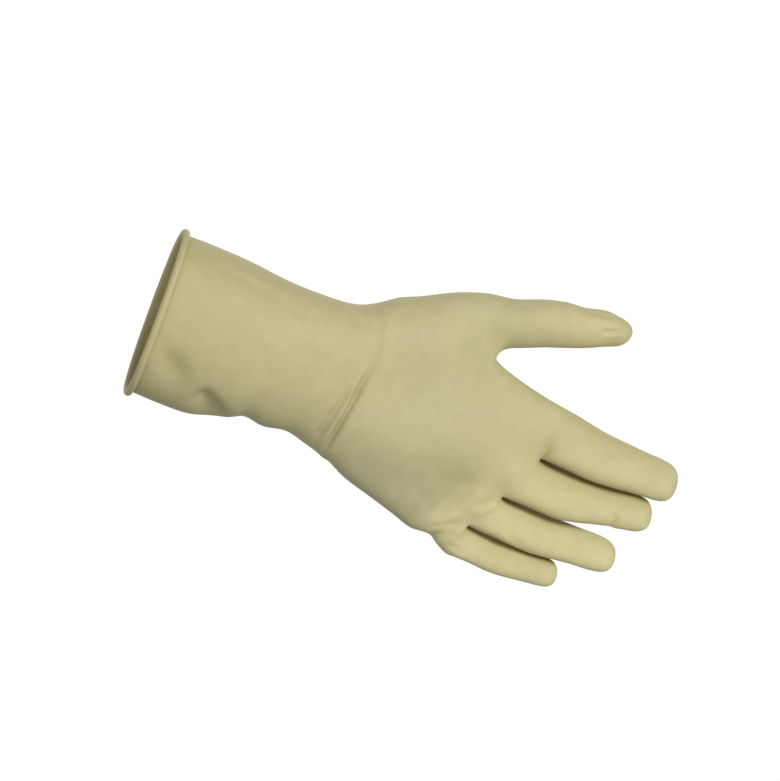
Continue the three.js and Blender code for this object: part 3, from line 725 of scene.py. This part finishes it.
def ranged(tree, value, start, end, low=0, high=1, course="LINEAR"):
    """A value that goes from low to high as another goes from start to end."""
    node = tree.nodes.new("ShaderNodeMapRange")
    node.interpolation_type = course
    wired(tree, node, {"Value": value, "From Min": start, "From Max": end, "To Min": low, "To Max": high})
    return node.outputs["Result"]


def ramp(tree, share, stops, course="LINEAR"):
    """A colour that goes through the stops, each a share and a colour."""
    node = wired(tree, tree.nodes.new("ShaderNodeValToRGB"), {"Fac": share})
    node.color_ramp.interpolation = course
    elements = node.color_ramp.elements
    while len(elements) < len(stops):
        elements.new(0.5)
    for element, (at, colour) in zip(elements, stops):
        element.position = at
        element.color = (*colour, 1)
    return node.outputs["Color"]


def mixed(tree, share, first, second, blend="MIX"):
    node = tree.nodes.new("ShaderNodeMix")
    node.data_type = "RGBA"
    node.blend_type = blend
    return wired(tree, node, {MIX_SHARE: share, MIX_FIRST: first, MIX_SECOND: second}).outputs[MIX_RESULT]


def multiplied(tree, first, second):
    return mixed(tree, 1, first, second, "MULTIPLY")


# Latex

WHITE = (1, 1, 1)
DEEP_CREAM = (0.516, 0.466, 0.241)
PALE_CREAM = (0.56, 0.503, 0.268)
PATCHES = dict(scale=22, detail=3)
MOTTLE = dict(scale=160, detail=4)
PITS = dict(scale=1500, detail=3)
PATCH_COLOURS = [(0.3, DEEP_CREAM), (0.7, PALE_CREAM)]
MOTTLE_COLOURS = [(0.35, (0.965, 0.963, 0.955)), (0.65, (1.025, 1.025, 1.03))]
SMOOTHEST, ROUGHEST = 0.56, 0.7
SMOOTH_FROM, ROUGH_FROM = 0.3, 0.7  # how high the mottle is there
SHEEN = 0.3
PIT_STRENGTH = 0.25
PIT_DEPTH = 0.15

# Painted shade: the sheet's colour is darkened in narrow gaps, where neighbouring fingers face each
# other. The shares are of the open space within the reach given below of the surface.
PAINTED_GAP_SHADE_REACH = 6
PAINTED_GAP_SHADE_SAMPLES = 8
PAINTED_GAP_SHADE_COLOURS = [(0.1, (0.55, 0.47, 0.17)), (0.62, WHITE)]

# How the colour drifts, as factors at shares of the way: from the mouth to the fingertips, from
# LOW_FROM to LOW_TO across the gauntlet and palm, and from the little finger to the thumb's tip
# across the fingers. The last two are painted shade: the gauntlet and palm get darker towards the
# lower, little finger's side, and the fingers' tones are lightest near the ring finger and darkest
# at the thumb's tip.
ALONG_DRIFT = [
    (0, (0.97, 0.965, 0.9)),
    (0.2, (0.93, 0.93, 0.895)),
    (0.38, (0.985, 0.98, 0.985)),
    (0.52, (0.915, 0.93, 0.955)),
    (0.68, (0.95, 0.955, 0.955)),
    (0.8, (1.03, 1.025, 1)),
]
LOW_SIDE_PAINTED_SHADE = [
    (0, (0.69, 0.703, 0.741)),
    (0.45, (0.784, 0.789, 0.802)),
    (1, (0.862, 0.862, 0.862)),
]
FINGER_PAINTED_SHADE = [
    (0, (0.91, 0.91, 0.905)),
    (0.13, WHITE),
    (0.27, (0.9, 0.895, 0.885)),
    (0.36, (0.88, 0.875, 0.87)),
    (0.5, (0.87, 0.875, 0.885)),
    (0.8, (0.89, 0.89, 0.875)),
    (0.97, (0.73, 0.75, 0.785)),
]
LOW_FROM, LOW_TO = -50, -5
LITTLE_FINGER, THUMB_TIP = -65, 85

# Where the fingers' drift takes over, along a line at the pads that slants across the hand. The
# palm's painted shade ends along it, leaving the hollow before the pads darker than the pads.
PADS_SLANT = 0.5
PADS_FROM, PADS_TO = 182, 200


def drift(tree, coordinate, start, end, stops):
    """A colour that goes through the stops along one coordinate, from start to end."""
    return ramp(tree, ranged(tree, coordinate, start / 1000, end / 1000), stops, "B_SPLINE")


# The drift along the glove, times painted shade: darker towards the lower side of the gauntlet and palm,
# giving way along the pads' line to the fingers' painted tones
def drift_and_painted_shade(tree, place):
    parts = wired(tree, tree.nodes.new("ShaderNodeSeparateXYZ"), {0: place})
    length = GAUNTLET_LENGTH + PALM_LENGTH + INDEX_LENGTH
    along = drift(tree, parts.outputs["X"], 0, length, ALONG_DRIFT)
    low = drift(tree, parts.outputs["Z"], LOW_FROM, LOW_TO, LOW_SIDE_PAINTED_SHADE)
    fingers = drift(tree, parts.outputs["Z"], LITTLE_FINGER, THUMB_TIP, FINGER_PAINTED_SHADE)
    slanted = tree.nodes.new("ShaderNodeVectorMath")
    slanted.operation = "DOT_PRODUCT"
    wired(tree, slanted, {0: place, 1: (1, 0, -PADS_SLANT)})
    on_fingers = ranged(tree, slanted.outputs["Value"], PADS_FROM / 1000, PADS_TO / 1000,
                        course="SMOOTHSTEP")
    return multiplied(tree, along, mixed(tree, on_fingers, low, fingers))


def latex():
    material = bpy.data.materials.new("latex_cream")
    material.use_nodes = True
    tree = material.node_tree
    shader = tree.nodes["Principled BSDF"]
    place = tree.nodes.new("ShaderNodeTexCoord").outputs["Object"]
    mottle = grain(tree, place, **MOTTLE)
    cream = multiplied(tree, ramp(tree, grain(tree, place, **PATCHES), PATCH_COLOURS),
                       ramp(tree, mottle, MOTTLE_COLOURS))
    # Painted shade between the fingers: ambient occlusion darkens the colour where little space is open
    # round the surface
    open_space = tree.nodes.new("ShaderNodeAmbientOcclusion")
    open_space.samples = PAINTED_GAP_SHADE_SAMPLES
    open_space.only_local = True
    open_space.inputs["Distance"].default_value = PAINTED_GAP_SHADE_REACH / 1000
    painted_gap_shade = ramp(tree, open_space.outputs["AO"], PAINTED_GAP_SHADE_COLOURS)
    # The cream colour, drifting along the glove and with its painted shade
    drifted_and_shaded = multiplied(tree, cream, drift_and_painted_shade(tree, place))
    bump = wired(tree, tree.nodes.new("ShaderNodeBump"), {
        "Height": grain(tree, place, **PITS),
        "Strength": PIT_STRENGTH,
        "Distance": PIT_DEPTH / 1000,
    })
    wired(tree, shader, {
        "Base Color": multiplied(tree, drifted_and_shaded, painted_gap_shade),
        "Roughness": ranged(tree, mottle, SMOOTH_FROM, ROUGH_FROM, SMOOTHEST, ROUGHEST),
        "Normal": bump.outputs["Normal"],
    })
    shader.inputs["Specular IOR Level"].default_value = SHEEN
    return material


# Camera. The view lies CAMERA_AZIMUTH to the side of the mouth, level, and rolled; the origin is
# seen at ORIGIN_PIXEL.

IMAGE_WIDTH, IMAGE_HEIGHT = 780, 781
MM_PER_PIXEL = 0.5
ORIGIN_PIXEL = (152.6, 310.8)
CAMERA_AZIMUTH = -8  # degrees
CAMERA_ROLL = 20  # degrees
CAMERA_DISTANCE = 1800
SENSOR_WIDTH = 36
VIEW_REACH = 20000


def camera():
    azimuth, roll = math.radians(CAMERA_AZIMUTH), math.radians(CAMERA_ROLL)
    right = Vector((math.cos(azimuth), math.sin(azimuth), 0))
    back = Vector((math.sin(azimuth), -math.cos(azimuth), 0))
    up = Vector((0, 0, 1))
    across = right * math.cos(roll) + up * math.sin(roll)
    upwards = up * math.cos(roll) - right * math.sin(roll)
    aside = (IMAGE_WIDTH / 2 - ORIGIN_PIXEL[0]) * MM_PER_PIXEL
    below = (IMAGE_HEIGHT / 2 - ORIGIN_PIXEL[1]) * MM_PER_PIXEL
    target = (across * aside - upwards * below) / 1000
    data = bpy.data.cameras.new("camera")
    data.sensor_fit = "HORIZONTAL"
    data.sensor_width = SENSOR_WIDTH
    data.lens = SENSOR_WIDTH * CAMERA_DISTANCE / (IMAGE_WIDTH * MM_PER_PIXEL)
    data.clip_end = VIEW_REACH / 1000
    thing = bpy.data.objects.new("camera", data)
    bpy.context.scene.collection.objects.link(thing)
    turned = Matrix((across, upwards, back)).transposed().to_4x4()
    thing.matrix_world = Matrix.Translation(target + back * CAMERA_DISTANCE / 1000) @ turned
    bpy.context.scene.camera = thing


# Floor, surroundings and lights, in metres

FLOOR_DROP = 0.8
FLOOR_RADIUS = 12
FLOOR_SIDES = 64
FLOOR_COLOUR = (0.8, 0.8, 0.79)
FLOOR_ROUGHNESS = 0.9
FADE_FROM, FADE_TO = 1.4, 3.2  # how far out the floor turns white
BACKGROUND = 1.02  # strength of the white behind everything
SURROUNDINGS = 0.36  # strength of the light from all round
BAND_FROM, BAND_TO = 0.17, 0.32  # how high and low the white band round the horizon ends
LIGHT_DISTANCE = 0.95
LIGHT_COLOUR = (1, 1, 0.99)
KEY = dict(way=(0.02, -0.9, 0.43), aim=(0.33, 0, 0), size=0.34, power=6.3)
BACK = dict(way=(-0.15, 0.8, 0.7), aim=(0.14, 0, 0), size=0.8, power=2.6)


def floor():
    """A pale sheet under the glove that runs out into the white of the background."""
    mesh = bpy.data.meshes.new("floor")
    rim = [(FLOOR_RADIUS * math.cos(angle), FLOOR_RADIUS * math.sin(angle), -FLOOR_DROP)
           for angle in np.linspace(0, 2 * math.pi, FLOOR_SIDES, endpoint=False)]
    mesh.from_pydata(rim, [], [list(range(FLOOR_SIDES))])
    mesh.materials.append(fading_floor())
    sheet = bpy.data.objects.new("floor", mesh)
    bpy.context.scene.collection.objects.link(sheet)


def fading_floor():
    material = bpy.data.materials.new("floor_pale")
    material.use_nodes = True
    tree = material.node_tree
    shader = tree.nodes["Principled BSDF"]
    shader.inputs["Base Color"].default_value = (*FLOOR_COLOUR, 1)
    shader.inputs["Roughness"].default_value = FLOOR_ROUGHNESS
    distance = tree.nodes.new("ShaderNodeVectorMath")
    distance.operation = "LENGTH"
    wired(tree, distance, {0: tree.nodes.new("ShaderNodeTexCoord").outputs["Object"]})
    white = wired(tree, tree.nodes.new("ShaderNodeEmission"), {"Strength": BACKGROUND})
    both = wired(tree, tree.nodes.new("ShaderNodeMixShader"), {
        "Fac": ranged(tree, distance.outputs["Value"], FADE_FROM, FADE_TO, course="SMOOTHSTEP"),
        1: shader.outputs[0],
        2: white.outputs[0],
    })
    wired(tree, tree.nodes["Material Output"], {"Surface": both.outputs[0]})
    return material


def surroundings():
    """Even, dim light from all round, with a white band at the height of the horizon."""
    world = bpy.data.worlds.new("studio")
    world.use_nodes = True
    bpy.context.scene.world = world
    tree = world.node_tree
    way = tree.nodes.new("ShaderNodeTexCoord").outputs["Generated"]
    parts = wired(tree, tree.nodes.new("ShaderNodeSeparateXYZ"), {0: way})
    height = tree.nodes.new("ShaderNodeMath")
    height.operation = "ABSOLUTE"
    wired(tree, height, {0: parts.outputs["Z"]})
    band = ranged(tree, height.outputs[0], BAND_FROM, BAND_TO, BACKGROUND, SURROUNDINGS, "SMOOTHSTEP")
    wired(tree, tree.nodes["Background"], {"Strength": band, "Color": (*WHITE, 1)})


def light(name, way, aim, size, power):
    data = bpy.data.lights.new(name, "AREA")
    data.shape = "DISK"
    data.size = size
    data.energy = power
    data.color = LIGHT_COLOUR
    lamp = bpy.data.objects.new(name, data)
    bpy.context.scene.collection.objects.link(lamp)
    away = Vector(way).normalized()
    lamp.location = Vector(aim) + away * LIGHT_DISTANCE
    lamp.rotation_mode = "QUATERNION"
    lamp.rotation_quaternion = away.to_track_quat("Z", "Y")


bpy.context.scene.view_settings.view_transform = "Standard"
camera()
surroundings()
light("key", **KEY)
light("back", **BACK)
floor()
glove()
